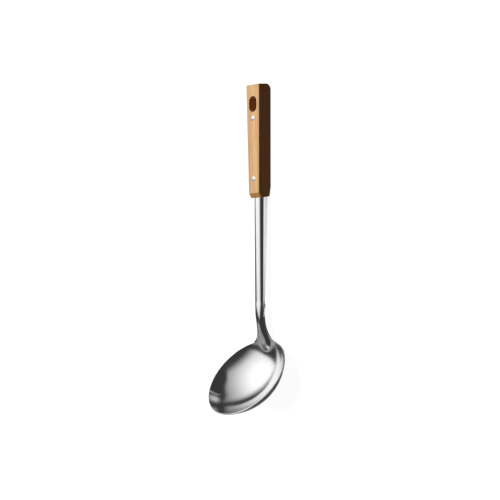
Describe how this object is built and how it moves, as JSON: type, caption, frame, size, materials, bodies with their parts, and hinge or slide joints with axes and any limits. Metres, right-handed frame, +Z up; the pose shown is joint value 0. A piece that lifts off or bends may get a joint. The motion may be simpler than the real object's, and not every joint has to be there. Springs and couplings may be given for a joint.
{
  "type": "wok ladle with a riveted wooden handle and a hanging slot",
  "caption": "Round polished steel wok ladle pressed in one piece with its arched shaft, riveted into a tapered light wooden handle with an oval hanging slot.",
  "frame": {"origin": "On the plane that the ladle rests on, under the middle of its bounding box", "axes": "+X runs along the ladle from the bowl's tip to the handle's far end, +Y across it, +Z up, the way the bowl opens"},
  "size_m": [0.335, 0.095, 0.0597],
  "materials": {
    "steel": "mirror-polished stainless steel sheet",
    "wood": "smooth light beech, fine grain along the handle, thin matt oil",
    "rivet_steel": "polished steel rivets"
  },
  "bodies": {
    "root": {"ladle_body": "steel", "handle": "wood", "upper_rivet": "rivet_steel", "lower_rivet": "rivet_steel"}
  },
  "joints": []
}
